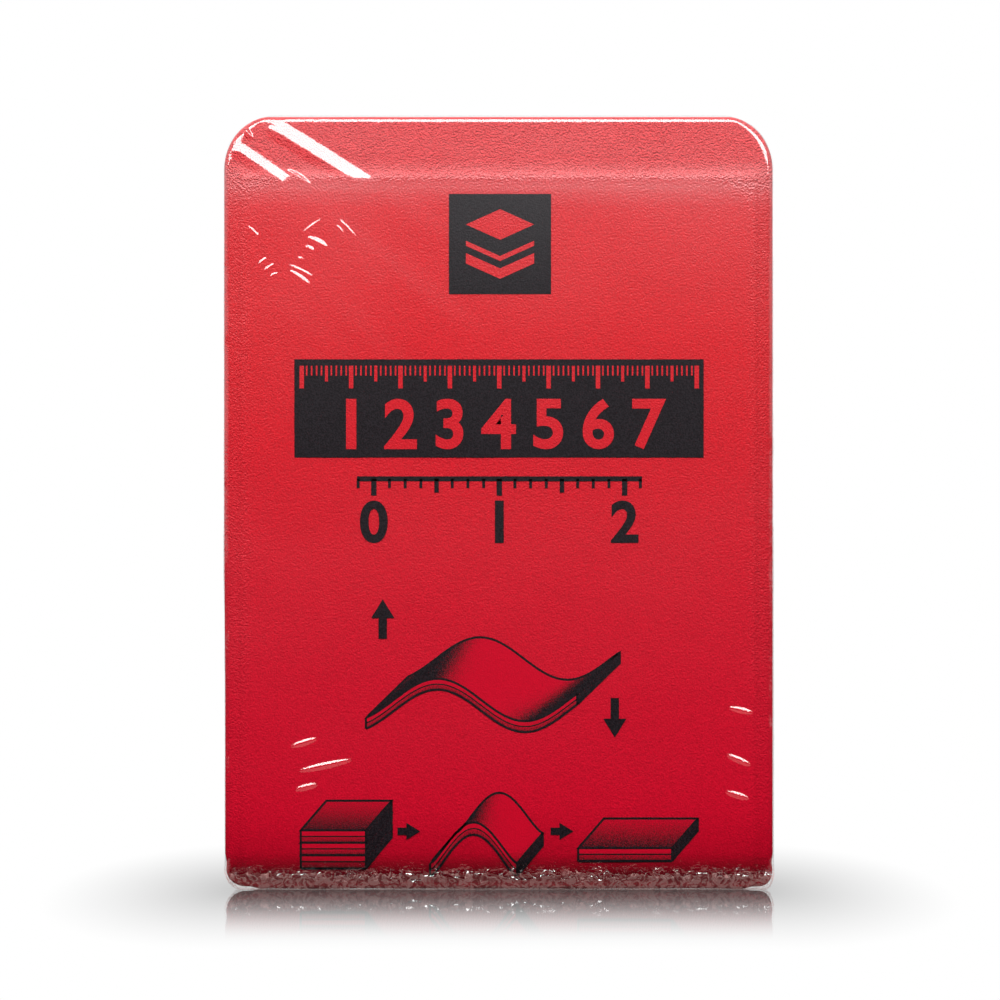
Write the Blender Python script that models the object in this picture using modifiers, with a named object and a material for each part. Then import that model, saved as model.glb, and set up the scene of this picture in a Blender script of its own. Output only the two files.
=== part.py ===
"""A malleable splint: a foam and aluminium strip folded in three and sealed in clear shrink film.

The pack stands on its folded end. Units are metres, +Z is up, the printed front faces -Y, and
the origin is under the middle of the base. Run it with blender --background --python part.py.

A point of the strip is given by s, its distance along the strip from the free end at the top of
the front panel, and by u, its distance across the strip from the middle.
"""

import math

import bmesh
import bpy
import numpy as np
from mathutils import Vector

# The strip
STRIP_WIDTH = 0.110
CORNER_RADIUS = 0.010
FOAM_THICKNESS = 0.0019
CORE_THICKNESS = 0.0004
LAYER_GAP = 0.0003
CORE_SIDE_MARGIN = 0.0043
CORE_END_MARGIN = 0.0125
CORE_CORNER_RADIUS = 0.008
STEP_CLEARANCE = 0.0003
STEP_LENGTH = 0.0015

# How the strip is folded
PANEL_HEIGHT = 0.1557
BASE_FLAT = 0.003
TOP_FOLD_INSIDE_RADIUS = 0.0006
TUCKED_PANEL_GAP = 0.0005
TUCKED_END_CLEARANCE = 0.0022
TOP_FOLD_DROP = 0.010
LEAN_ANGLE = math.radians(13)
LEAN_BEND_RADIUS = 0.008
EDGE_ROLL = 0.001
EDGE_ROLL_FADE = 0.015
EDGE_ROUNDING = 0.001
BOTTOM_FOLD_PINCH = 0.0028
TOP_FOLD_PINCH = 0.0015

# The film
FILM_WALL = 0.0003
FILM_GAP = 0.0003
FILM_BASE_GAP = 0.0007
FILM_BASE_RADIUS = 0.0037
FILM_BASE_INSET_LEFT = 0.0034
FILM_BASE_INSET_RIGHT = 0.0018
FILM_GATHER_DEPTH = 0.0003
VENT_DIAMETER = 0.002
VENT_BELOW_TOP_FOLD = 0.022

# The film's main tension folds at the front's top left corner. A fold runs from a start to an
# end, each given as a share of the front's width from the left and of its height from the base.
# Columns: start across, start up, end across, end up, half width and height in metres
TENSION_FOLDS = (
    (0.075, 0.985, 0.280, 0.906, 0.0022, 0.00055),
    (0.020, 0.960, 0.150, 0.900, 0.0018, 0.00045),
    (0.110, 0.905, 0.200, 0.835, 0.0015, 0.00035),
)

# How finely curves are divided, and the least distance between two rows of points
ARC_STEP = math.radians(15)
CORNER_STEPS = 5
LEAST_ROW = 0.0003
FILM_CORNER_STEPS = 3
FILM_FRONT_COLUMNS = 10
FILM_ROW_HEIGHT = 0.0145
FILM_FOLD_CUTS = 3
FILM_OUTLINE_STEPS = 12
# Each outline step is taken this share of itself to either side, so that both ends of a straight
# run are found
STRAIGHT_SHARE = 0.002
FILM_TIP_CUT = 0.0001
VENT_SIDES = 12

# What follows from the sizes above
STRIP_THICKNESS = 2 * FOAM_THICKNESS + 2 * LAYER_GAP + CORE_THICKNESS
MARGIN_CLOSING = (CORE_THICKNESS + LAYER_GAP) / 2
TOP_FOLD_RADIUS = TOP_FOLD_INSIDE_RADIUS + STRIP_THICKNESS / 2
ROLL_ROOM = max(0.0, EDGE_ROLL - 2 * MARGIN_CLOSING)
PANEL_PITCH = STRIP_THICKNESS + TUCKED_PANEL_GAP + ROLL_ROOM
HALF_PITCH = (PANEL_PITCH + 2 * TOP_FOLD_RADIUS) / 2
BOTTOM_FOLD_RADIUS = HALF_PITCH - BASE_FLAT / 2
STRIP_BASE = FILM_WALL + FILM_BASE_GAP
STRIP_TOP = STRIP_BASE + PANEL_HEIGHT
FILM_OFFSET = FILM_GAP + FILM_WALL
FILM_HALF_WIDTH = STRIP_WIDTH / 2 + FILM_OFFSET
FILM_HALF_DEPTH = HALF_PITCH + STRIP_THICKNESS / 2 + FILM_OFFSET
FILM_CORNER_RADIUS = CORNER_RADIUS + FILM_OFFSET
FILM_EDGE_RADIUS = FILM_OFFSET + MARGIN_CLOSING + EDGE_ROLL
BOTTOM_FOLD_CENTRE_Z = STRIP_BASE + STRIP_THICKNESS / 2 + BOTTOM_FOLD_RADIUS
TOP_FOLD_CENTRE_Z = STRIP_TOP - TOP_FOLD_DROP - STRIP_THICKNESS / 2 - TOP_FOLD_RADIUS
TUCKED_END_Z = STRIP_BASE + STRIP_THICKNESS + TUCKED_END_CLEARANCE


def strip_segments():
    """The strip's middle line in the order of s, as pairs of a length and the angle it turns by."""
    lean_arc = LEAN_BEND_RADIUS * LEAN_ANGLE
    lean_straight = max(CORE_END_MARGIN - lean_arc, 0.0)
    lean_rise = lean_straight * math.cos(LEAN_ANGLE) + LEAN_BEND_RADIUS * math.sin(LEAN_ANGLE)
    lean_rise += STRIP_THICKNESS / 2 * math.sin(LEAN_ANGLE)
    quarter = BOTTOM_FOLD_RADIUS * math.pi / 2
    return (
        (lean_straight, 0.0),
        (lean_arc, LEAN_ANGLE),
        (STRIP_TOP - lean_rise - BOTTOM_FOLD_CENTRE_Z, 0.0),
        (quarter, math.pi / 2),
        (BASE_FLAT, 0.0),
        (quarter, math.pi / 2),
        (TOP_FOLD_CENTRE_Z - BOTTOM_FOLD_CENTRE_Z, 0.0),
        (TOP_FOLD_RADIUS * math.pi, math.pi),
        (TOP_FOLD_CENTRE_Z - TUCKED_END_Z, 0.0),
    )


SEGMENTS = strip_segments()
SEGMENT_STARTS = [sum(length for length, turn in SEGMENTS[:i]) for i in range(len(SEGMENTS) + 1)]
STRIP_LENGTH = SEGMENT_STARTS[-1]
BASE_SEGMENT = 4
BACK_SEGMENT = 6


def walk(s):
    """The middle line's y, z and heading at s, for a strip that starts at 0, 0. Heading 0 is down."""
    y, z, heading = 0.0, 0.0, -LEAN_ANGLE
    for (length, turn), start in zip(SEGMENTS, SEGMENT_STARTS):
        along = min(max(s - start, 0.0), length)
        if turn and length:
            radius = length / turn
            turned = turn * along / length
            y += radius * (math.cos(heading) - math.cos(heading + turned))
            z += radius * (math.sin(heading) - math.sin(heading + turned))
            heading += turned
        else:
            y += along * math.sin(heading)
            z -= along * math.cos(heading)
    return y, z, heading


BASE_Y, BASE_Z = walk(SEGMENT_STARTS[BASE_SEGMENT] + BASE_FLAT / 2)[:2]


def strip_point(s, u, offset):
    """A point of the strip in space. offset is its distance from the middle line, outwards."""
    y, z, heading = walk(s)
    y += -BASE_Y - offset * math.cos(heading)
    z += STRIP_BASE + STRIP_THICKNESS / 2 - BASE_Z - offset * math.sin(heading)
    return Vector((u, y, z))


def smooth(share):
    """0 up to share 0, 1 from share 1, and a smooth rise between."""
    share = min(max(share, 0.0), 1.0)
    return share * share * (3 - 2 * share)


def half_width_at(s, width, radius, end_margin):
    """Half the width at s of a layer with rounded corners, pinched where the film pulls at a fold."""
    from_end = min(s, STRIP_LENGTH - s) - end_margin
    inset = radius - math.sqrt(max(radius**2 - max(radius - from_end, 0.0) ** 2, 0.0))
    heading = walk(s)[2]
    if heading < math.pi:
        pinch = BOTTOM_FOLD_PINCH * math.sin(max(heading, 0.0)) ** 2
    else:
        pinch = TOP_FOLD_PINCH * math.sin((heading - math.pi) / 2)
    pinch = max(pinch, TOP_FOLD_PINCH * top_fold_nearness(s))
    return width / 2 - inset - pinch


def top_fold_nearness(s):
    """0 on the front panel, 1 in the top fold, rising over the last stretch of the back panel."""
    fold_start = SEGMENT_STARTS[BACK_SEGMENT + 1]
    fold_end = SEGMENT_STARTS[BACK_SEGMENT + 2]
    return smooth((s - fold_start) / EDGE_ROLL_FADE + 1) * (1 - smooth((s - fold_end) / EDGE_ROLL_FADE))


def edge_roll(s, share):
    """How far a foam edge is rolled inwards at s. share runs from 0 in the middle to 1 at the edge."""
    margin_share = 2 * CORE_SIDE_MARGIN / STRIP_WIDTH
    across = min(max((abs(share) - 1 + margin_share) / margin_share, 0.0), 1.0)
    back_end = SEGMENT_STARTS[BACK_SEGMENT + 1]
    rolled = smooth(s / CORNER_RADIUS) * (1 - smooth((s - back_end) / EDGE_ROLL_FADE + 1))
    return EDGE_ROLL * across**2 * rolled


def margin_at(s, share):
    """0 where a foam layer lies on the aluminium, 1 in the margin round it."""
    u_past = abs(share) * STRIP_WIDTH / 2 - (STRIP_WIDTH / 2 - CORE_SIDE_MARGIN)
    s_past = CORE_END_MARGIN - min(s, STRIP_LENGTH - s)
    steps = [smooth((past - STEP_CLEARANCE) / STEP_LENGTH) for past in (u_past, s_past)]
    return 1 - (1 - steps[0]) * (1 - steps[1])


def end_rows(radius, end_margin):
    """Stations that round off the corners of a layer's two ends."""
    angles = [math.pi / 2 * i / CORNER_STEPS for i in range(CORNER_STEPS + 1)]
    rows = [end_margin + radius * (1 - math.cos(angle)) for angle in angles]
    return rows + [STRIP_LENGTH - row for row in rows]


def bend_rows():
    """Stations at the ends of each straight run, and evenly along each bend."""
    rows = []
    for (length, turn), start in zip(SEGMENTS, SEGMENT_STARTS):
        count = max(math.ceil(turn / ARC_STEP), 1)
        rows += [start + length * i / count for i in range(count + 1)]
    fold_start = SEGMENT_STARTS[BACK_SEGMENT + 1]
    fold_end = SEGMENT_STARTS[BACK_SEGMENT + 2]
    for i in range(1, 5):
        rows.append(fold_start - EDGE_ROLL_FADE * i / 4)
        rows.append(fold_end + EDGE_ROLL_FADE * i / 4)
    return rows


def thinned(rows, first, last):
    """The rows in order from first to last, without those nearly on top of another."""
    kept = [first]
    for row in sorted(rows):
        if row - kept[-1] > LEAST_ROW and last - row > LEAST_ROW:
            kept.append(row)
    return kept + [last]


def tube(section, rows, place):
    """A closed bmesh through like sections: place(section value, row value) gives each point."""
    bm = bmesh.new()
    x_count = len(section)
    y_count = len(rows) - 1
    bmesh.ops.create_grid(bm, x_segments=x_count, y_segments=y_count, size=0.5)
    for vert in bm.verts:
        around = section[round((vert.co.x + 0.5) * x_count) % x_count]
        row = rows[round((vert.co.y + 0.5) * y_count)]
        vert.co = place(around, row)
    bmesh.ops.remove_doubles(bm, verts=bm.verts, dist=1e-6)
    bmesh.ops.holes_fill(bm, edges=[edge for edge in bm.edges if edge.is_boundary])
    bmesh.ops.recalc_face_normals(bm, faces=bm.faces)
    return bm


def finished(bm, name, parts):
    """The bmesh as an object of the part, shaded smooth up to its edges."""
    mesh = bpy.data.meshes.new(name)
    bm.to_mesh(mesh)
    bm.free()
    mesh.shade_smooth()
    mesh.set_sharp_from_angle(angle=math.radians(40))
    obj = bpy.data.objects.new(name, mesh)
    parts.objects.link(obj)
    return obj


def both_faces(shares):
    """The section of a flat layer: its outer face from left to right, then its inner face back."""
    return [(share, 1) for share in shares] + [(share, -1) for share in reversed(shares)]


def rounding_at(s, share):
    """How far a foam layer's outer face is rounded down near the strip's edge."""
    from_edge = min(s, STRIP_LENGTH - s, (1 - abs(share)) * STRIP_WIDTH / 2)
    inside = max(EDGE_ROUNDING - from_edge, 0.0)
    return EDGE_ROUNDING - math.sqrt(max(EDGE_ROUNDING**2 - inside**2, 0.0))


def foam_layer(name, side, parts):
    """A foam layer on one side of the aluminium: side is 1 outside the folds and -1 inside."""
    insets = (CORE_SIDE_MARGIN - STEP_CLEARANCE, CORE_SIDE_MARGIN - STEP_CLEARANCE - STEP_LENGTH)
    roundings = (EDGE_ROUNDING, EDGE_ROUNDING * (1 - math.cos(math.pi / 4)), 0.0)
    edge_shares = [1 - 2 * inset / STRIP_WIDTH for inset in insets + roundings]
    shares = [-share for share in reversed(edge_shares)] + [0.0] + edge_shares
    step = CORE_END_MARGIN - STEP_CLEARANCE
    near_ends = (step, step - STEP_LENGTH) + roundings
    rows = [row for near in near_ends for row in (near, STRIP_LENGTH - near)]
    rows = thinned(end_rows(CORNER_RADIUS, 0.0) + bend_rows() + rows, 0.0, STRIP_LENGTH)

    def place(around, s):
        share, face = around
        near = CORE_THICKNESS / 2 + LAYER_GAP - MARGIN_CLOSING * margin_at(s, share)
        is_far = face == side
        offset = side * (near + (FOAM_THICKNESS - rounding_at(s, share) if is_far else 0.0))
        half_width = half_width_at(s, STRIP_WIDTH, CORNER_RADIUS, 0.0)
        return strip_point(s, share * half_width, offset - edge_roll(s, share))

    return finished(tube(both_faces(shares), rows, place), name, parts)


def core_layer(parts):
    """The aluminium sheet, which stops short of the foam's edges."""
    width = STRIP_WIDTH - 2 * CORE_SIDE_MARGIN
    first, last = CORE_END_MARGIN, STRIP_LENGTH - CORE_END_MARGIN
    rows = end_rows(CORE_CORNER_RADIUS, CORE_END_MARGIN) + bend_rows()
    rows = thinned([row for row in rows if first < row < last], first, last)

    def place(around, s):
        share, face = around
        half_width = half_width_at(s, width, CORE_CORNER_RADIUS, CORE_END_MARGIN)
        return strip_point(s, share * half_width, face * CORE_THICKNESS / 2)

    return finished(tube(both_faces((-1, 0, 1)), rows, place), "aluminium_core", parts)


def film_half_width(z, side):
    """Half the film's width at height z: side is -1 on the left and 1 on the right."""
    inset = FILM_BASE_INSET_LEFT if side < 0 else FILM_BASE_INSET_RIGHT
    low = max(1 - z / BOTTOM_FOLD_CENTRE_Z, 0.0)
    high = max(FILM_CORNER_RADIUS - (FILM_TOP - z), 0.0)
    rounding = FILM_CORNER_RADIUS - math.sqrt(max(FILM_CORNER_RADIUS**2 - high**2, 0.0))
    return FILM_HALF_WIDTH - inset * low**2 - rounding


def film_outline():
    """The film's tight outline from the side: heights from the base up, and the y of its front
    and of its back there. It is the outline round small circles on the strip's outer points and
    round the two larger circles that square the film off at the base."""
    half = STRIP_THICKNESS / 2
    margin = half - MARGIN_CLOSING
    full = [s for s in bend_rows() if s > CORE_END_MARGIN - LEAST_ROW]
    circles = [(strip_point(s, 0.0, half), FILM_OFFSET) for s in full]
    corner = EDGE_ROUNDING + FILM_OFFSET
    for side in (1, -1):
        circles.append((strip_point(EDGE_ROUNDING, 0.0, side * (margin - EDGE_ROUNDING)), corner))
    for side in (1, -1):
        base_y = side * (FILM_HALF_DEPTH - FILM_BASE_RADIUS)
        circles.append((Vector((0.0, base_y, FILM_BASE_RADIUS)), FILM_BASE_RADIUS))

    def edge(side):
        points = []
        for i in range(FILM_OUTLINE_STEPS):
            for share in (i + STRAIGHT_SHARE, i + 1 - STRAIGHT_SHARE):
                angle = math.pi * share / FILM_OUTLINE_STEPS - math.pi / 2
                away = Vector((0.0, side * math.cos(angle), math.sin(angle)))
                centre, radius = max(circles, key=lambda circle: circle[0].dot(away) + circle[1])
                points.append(centre + radius * away)
        return points

    front, back = edge(-1), edge(1)
    rows = sorted(point.z for point in front + back)
    fronts = np.interp(rows, [point.z for point in front], [point.y for point in front])
    backs = np.interp(rows, [point.z for point in back], [point.y for point in back])
    return np.array(rows), fronts, backs


OUTLINE_Z, OUTLINE_FRONT, OUTLINE_BACK = film_outline()
FILM_TOP = float(OUTLINE_Z[-1])


def film_rows():
    """The heights of the film's level sections, closer together where its outline bends."""
    angles = [math.pi / 2 * i / CORNER_STEPS for i in range(CORNER_STEPS + 1)]
    rows = [FILM_TOP - FILM_CORNER_RADIUS * (1 - math.cos(angle)) for angle in angles]
    slopes = np.stack([np.gradient(OUTLINE_FRONT), np.gradient(OUTLINE_BACK)])
    rows += [float(z) for z, bend in zip(OUTLINE_Z, np.abs(slopes).max(axis=0)) if bend > 1e-7]
    rows.append(BOTTOM_FOLD_CENTRE_Z)
    low, high = BOTTOM_FOLD_CENTRE_Z, FILM_TOP - FILM_CORNER_RADIUS
    count = math.ceil((high - low) / FILM_ROW_HEIGHT)
    rows += [low + (high - low) * i / count for i in range(1, count)]
    return thinned([row for row in rows if 0 < row < FILM_TOP], 0.0, FILM_TOP - FILM_TIP_CUT)


def film_section():
    """The points round a level section: pairs of a side or corner, and the share along it."""
    corner = [i / FILM_CORNER_STEPS for i in range(FILM_CORNER_STEPS)]
    face = [i / FILM_FRONT_COLUMNS for i in range(FILM_FRONT_COLUMNS)]
    points = []
    for quarter in range(4):
        points += [(("corner", quarter), share) for share in corner]
        points += [(("face", quarter), share) for share in (face if quarter % 2 == 0 else (0.0, 0.5))]
    return points


def film_point(place, z):
    """A point of the film on the level section at height z, before its folds are added."""
    (kind, quarter), share = place
    left, right = -film_half_width(z, -1), film_half_width(z, 1)
    front = float(np.interp(z, OUTLINE_Z, OUTLINE_FRONT))
    back = float(np.interp(z, OUTLINE_Z, OUTLINE_BACK))
    radius = min(FILM_EDGE_RADIUS, 0.45 * (back - front))
    corners = (
        (left + radius, front + radius),
        (right - radius, front + radius),
        (right - radius, back - radius),
        (left + radius, back - radius),
    )
    centre = Vector(corners[quarter % 4])
    angle = math.pi + math.pi / 2 * (quarter + (share if kind == "corner" else 1.0))
    point = centre + radius * Vector((math.cos(angle), math.sin(angle)))
    if kind == "face":
        onward = Vector(corners[(quarter + 1) % 4]) - centre
        point += share * onward
    gather = FILM_GATHER_DEPTH * max(1 - z / BOTTOM_FOLD_CENTRE_Z, 0.0)
    if kind == "face" and quarter % 2 == 0 and round(share * FILM_FRONT_COLUMNS) % 2:
        point.y += gather if point.y < 0 else -gather
    return Vector((point.x, point.y, z))


def fold_height(across, up):
    """How far the tension folds lift the film at a point of the front, given as shares."""
    width, height = 2 * FILM_HALF_WIDTH, FILM_TOP
    point = Vector((across * width, up * height))
    lift = 0.0
    for x0, z0, x1, z1, half_width, fold_lift in TENSION_FOLDS:
        start = Vector((x0 * width, z0 * height))
        run = Vector((x1 * width, z1 * height)) - start
        along = min(max((point - start).dot(run) / run.length_squared, 0.0), 1.0)
        away = (point - start - along * run).length
        taper = math.sin(math.pi * min(max(along, 0.05), 0.95))
        lift = max(lift, fold_lift * taper * smooth(1 - away / half_width))
    return lift


def add_tension_folds(bm):
    """Divides the front's top left corner finely and lifts its points along the folds."""
    last_across = max(max(fold[0], fold[2]) for fold in TENSION_FOLDS)
    first_up = min(min(fold[1], fold[3]) for fold in TENSION_FOLDS)
    tip_start = FILM_TOP - EDGE_ROUNDING - FILM_OFFSET

    def share_of(point):
        return point.x / (2 * FILM_HALF_WIDTH) + 0.5, point.z / FILM_TOP

    def in_area(face):
        across, up = share_of(face.calc_center_median())
        is_below_tip = max(vert.co.z for vert in face.verts) < tip_start + LEAST_ROW
        return face.normal.y < -0.5 and across < last_across and up > first_up and is_below_tip

    edges = {edge for face in bm.faces if in_area(face) for edge in face.edges}
    bmesh.ops.subdivide_edges(bm, edges=list(edges), cuts=FILM_FOLD_CUTS, use_grid_fill=True)
    bm.normal_update()
    # The faces beside that corner now have points along their edges, so they become fans
    beside = [face for face in bm.faces if len(face.verts) > 4 and face.normal.y < -0.5]
    bmesh.ops.poke(bm, faces=beside)
    bm.normal_update()
    for vert in bm.verts:
        if vert.normal.y < -0.5:
            vert.co.y -= fold_height(*share_of(vert.co))


def film(parts, cutters):
    """The film: a closed skin with a thin wall, shrunk round the pack, with a vent in its back."""
    bm = tube(film_section(), film_rows(), film_point)
    add_tension_folds(bm)
    skin = finished(bm, "shrink_film", parts)
    wall = skin.modifiers.new("wall", "SOLIDIFY")
    wall.thickness = FILM_WALL
    wall.offset = -1
    wall.use_even_offset = True

    bm = bmesh.new()
    size = {"radius1": VENT_DIAMETER / 2, "radius2": VENT_DIAMETER / 2, "depth": 2 * FILM_OFFSET}
    bmesh.ops.create_cone(bm, segments=VENT_SIDES, cap_ends=True, **size)
    mesh = bpy.data.meshes.new("vent_cutter")
    bm.to_mesh(mesh)
    bm.free()
    cutter = bpy.data.objects.new("vent_cutter", mesh)
    cutter.rotation_euler = (math.pi / 2, 0, 0)
    cutter.location = (0, FILM_HALF_DEPTH, TOP_FOLD_CENTRE_Z - VENT_BELOW_TOP_FOLD)
    cutter.hide_render = True
    cutter.display_type = "WIRE"
    cutters.objects.link(cutter)
    vent = skin.modifiers.new("vent", "BOOLEAN")
    vent.operation = "DIFFERENCE"
    vent.solver = "EXACT"
    vent.object = cutter
    return skin


def material(name, colour, roughness, metallic=0.0, transmission=0.0):
    """A material with a Principled BSDF of that finish."""
    made = bpy.data.materials.new(name)
    made.use_nodes = True
    shader = made.node_tree.nodes["Principled BSDF"]
    shader.inputs["Base Color"].default_value = (*colour, 1.0)
    shader.inputs["Roughness"].default_value = roughness
    shader.inputs["Metallic"].default_value = metallic
    shader.inputs["Transmission Weight"].default_value = transmission
    made.diffuse_color = (*colour, 1.0 - 0.7 * transmission)
    return made


def collection(name):
    made = bpy.data.collections.new(name)
    bpy.context.scene.collection.children.link(made)
    return made


def main():
    for obj in list(bpy.data.objects):
        bpy.data.objects.remove(obj)
    parts = collection("folded_splint")
    cutters = collection("cutters")
    red_foam = material("red_foam", (0.60, 0.020, 0.030), 0.6)
    foam_layer("outer_foam", 1, parts).data.materials.append(red_foam)
    foam_layer("inner_foam", -1, parts).data.materials.append(red_foam)
    aluminium = material("soft_aluminium", (0.80, 0.80, 0.82), 0.35, metallic=1.0)
    core_layer(parts).data.materials.append(aluminium)
    clear = material("clear_film", (1.0, 1.0, 1.0), 0.08, transmission=1.0)
    film(parts, cutters).data.materials.append(clear)


main()
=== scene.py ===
import functools
import math

import bmesh
import bpy
import numpy as np
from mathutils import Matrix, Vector, noise

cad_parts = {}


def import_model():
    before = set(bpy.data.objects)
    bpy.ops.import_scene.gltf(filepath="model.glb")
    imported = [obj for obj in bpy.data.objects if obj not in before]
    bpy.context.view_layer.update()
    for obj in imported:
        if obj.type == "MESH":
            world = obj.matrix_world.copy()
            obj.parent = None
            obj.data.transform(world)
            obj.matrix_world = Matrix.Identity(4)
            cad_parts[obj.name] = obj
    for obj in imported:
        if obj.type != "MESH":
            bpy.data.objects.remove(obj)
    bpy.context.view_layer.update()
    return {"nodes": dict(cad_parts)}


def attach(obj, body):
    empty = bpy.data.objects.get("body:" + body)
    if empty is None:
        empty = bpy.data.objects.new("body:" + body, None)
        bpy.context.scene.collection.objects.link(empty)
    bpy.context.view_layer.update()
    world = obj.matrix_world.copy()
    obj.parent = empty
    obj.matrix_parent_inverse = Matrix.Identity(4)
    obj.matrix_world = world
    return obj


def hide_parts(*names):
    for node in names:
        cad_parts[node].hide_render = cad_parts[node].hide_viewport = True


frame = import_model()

# Sizes that the CAD solids have too, in metres
STRIP_WIDTH = 0.110
CORNER_RADIUS = 0.010
FOAM_THICKNESS = 0.0019
CORE_THICKNESS = 0.0004
LAYER_GAP = 0.0003
CORE_SIDE_MARGIN = 0.0043
CORE_END_MARGIN = 0.0125
STEP_CLEARANCE = 0.0003
STEP_LENGTH = 0.0015
PANEL_HEIGHT = 0.1557
BASE_FLAT = 0.003
TOP_FOLD_INSIDE_RADIUS = 0.0006
TUCKED_PANEL_GAP = 0.0005
TUCKED_END_CLEARANCE = 0.0022
TOP_FOLD_DROP = 0.010
LEAN_ANGLE = math.radians(13)
LEAN_BEND_RADIUS = 0.008
EDGE_ROLL = 0.001
EDGE_ROLL_FADE = 0.015
EDGE_ROUNDING = 0.001
BOTTOM_FOLD_PINCH = 0.0028
TOP_FOLD_PINCH = 0.0015
FILM_OFFSET = 0.0006
FILM_BASE_GAP = 0.0010
FILM_BASE_RADIUS = 0.0037
FILM_BASE_INSET_LEFT = 0.0034
FILM_BASE_INSET_RIGHT = 0.0018

STRIP_THICKNESS = 2 * FOAM_THICKNESS + 2 * LAYER_GAP + CORE_THICKNESS
HALF_STRIP = STRIP_THICKNESS / 2
MARGIN_CLOSING = (CORE_THICKNESS + LAYER_GAP) / 2
TOP_FOLD_RADIUS = TOP_FOLD_INSIDE_RADIUS + HALF_STRIP
ROLL_ROOM = max(0.0, EDGE_ROLL - 2 * MARGIN_CLOSING)
PANEL_PITCH = STRIP_THICKNESS + TUCKED_PANEL_GAP + ROLL_ROOM
HALF_PITCH = (PANEL_PITCH + 2 * TOP_FOLD_RADIUS) / 2
BOTTOM_FOLD_RADIUS = HALF_PITCH - BASE_FLAT / 2
STRIP_BASE = FILM_BASE_GAP
STRIP_TOP = STRIP_BASE + PANEL_HEIGHT
FILM_HALF_WIDTH = STRIP_WIDTH / 2 + FILM_OFFSET
FILM_HALF_DEPTH = HALF_PITCH + HALF_STRIP + FILM_OFFSET
FILM_CORNER_RADIUS = CORNER_RADIUS + FILM_OFFSET
FILM_EDGE_RADIUS = FILM_OFFSET + MARGIN_CLOSING + EDGE_ROLL
BOTTOM_FOLD_CENTRE_Z = STRIP_BASE + HALF_STRIP + BOTTOM_FOLD_RADIUS
TOP_FOLD_CENTRE_Z = STRIP_TOP - TOP_FOLD_DROP - HALF_STRIP - TOP_FOLD_RADIUS
TUCKED_END_Z = STRIP_BASE + STRIP_THICKNESS + TUCKED_END_CLEARANCE
FRONT_Y = -(HALF_PITCH + HALF_STRIP)

MM = 0.001

# How far the soft foam bulges past its CAD size under the film, at its sides, its top end and its
# base, and how near it comes to the film at the base's corners
LEFT_BULGE = 0.00058
RIGHT_BULGE = 0.00046
TOP_BULGE = 0.00045
BASE_BULGE = 0.00103
FILM_NEARNESS = 0.00012
# How far the foam's outer face sags unevenly
SAG = 0.00006
# How much further the pack reaches to the left from some way up, and where that begins and grows
LEAN_LEFT = 0.00022
LEAN_START = 0.035
LEAN_RISE = 0.040


# The folded strip, as the CAD source lays it out: s runs along it from the free end at the top


def strip_segments():
    """The strip's middle line in the order of s: pairs of a length and the angle it turns by."""
    lean_arc = LEAN_BEND_RADIUS * LEAN_ANGLE
    lean_straight = max(CORE_END_MARGIN - lean_arc, 0.0)
    lean_rise = lean_straight * math.cos(LEAN_ANGLE) + LEAN_BEND_RADIUS * math.sin(LEAN_ANGLE)
    lean_rise += HALF_STRIP * math.sin(LEAN_ANGLE)
    quarter = BOTTOM_FOLD_RADIUS * math.pi / 2
    return (
        (lean_straight, 0.0),
        (lean_arc, LEAN_ANGLE),
        (STRIP_TOP - lean_rise - BOTTOM_FOLD_CENTRE_Z, 0.0),
        (quarter, math.pi / 2),
        (BASE_FLAT, 0.0),
        (quarter, math.pi / 2),
        (TOP_FOLD_CENTRE_Z - BOTTOM_FOLD_CENTRE_Z, 0.0),
        (TOP_FOLD_RADIUS * math.pi, math.pi),
        (TOP_FOLD_CENTRE_Z - TUCKED_END_Z, 0.0),
    )


SEGMENTS = strip_segments()
STARTS = [sum(length for length, turn in SEGMENTS[:i]) for i in range(len(SEGMENTS) + 1)]
STRIP_LENGTH = STARTS[-1]
BASE_SEGMENT = 4
BACK_SEGMENT = 6


@functools.lru_cache(maxsize=None)
def walk(s):
    """The middle line's y, z and heading at s, for a strip that starts at 0, 0."""
    y, z, heading = 0.0, 0.0, -LEAN_ANGLE
    for (length, turn), start in zip(SEGMENTS, STARTS):
        along = min(max(s - start, 0.0), length)
        if turn and length:
            radius = length / turn
            turned = turn * along / length
            y += radius * (math.cos(heading) - math.cos(heading + turned))
            z += radius * (math.sin(heading) - math.sin(heading + turned))
            heading += turned
        else:
            y += along * math.sin(heading)
            z -= along * math.cos(heading)
    return y, z, heading


BASE_Y, BASE_Z = walk(STARTS[BASE_SEGMENT] + BASE_FLAT / 2)[:2]


def strip_point(s, u, offset):
    """A point of the strip in space. offset is its distance from the middle line, outwards."""
    y, z, heading = walk(s)
    y += -BASE_Y - offset * math.cos(heading)
    z += STRIP_BASE + HALF_STRIP - BASE_Z - offset * math.sin(heading)
    return Vector((u, y, z))


def pressed_down(point):
    """A point of the foam's outer face, lowered onto the film where it lies in the bottom fold."""
    point.z -= BASE_BULGE * smooth(1 - point.z / BOTTOM_FOLD_CENTRE_Z)
    return point


def smooth(share):
    """0 up to share 0, 1 from share 1, and a smooth rise between."""
    share = min(max(share, 0.0), 1.0)
    return share * share * (3 - 2 * share)


def lean_left(z):
    """How much further the pack's left side lies out at height z."""
    return LEAN_LEFT * smooth((z - LEAN_START) / LEAN_RISE)


def film_low_half_width(z, side):
    """Half the film's width at height z, below its top corners: side is -1 left and 1 right."""
    inset = FILM_BASE_INSET_LEFT if side < 0 else FILM_BASE_INSET_RIGHT
    low = max(1 - z / BOTTOM_FOLD_CENTRE_Z, 0.0)
    more = lean_left(z) if side < 0 else 0.0
    return FILM_HALF_WIDTH + more - inset * low**5


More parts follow.
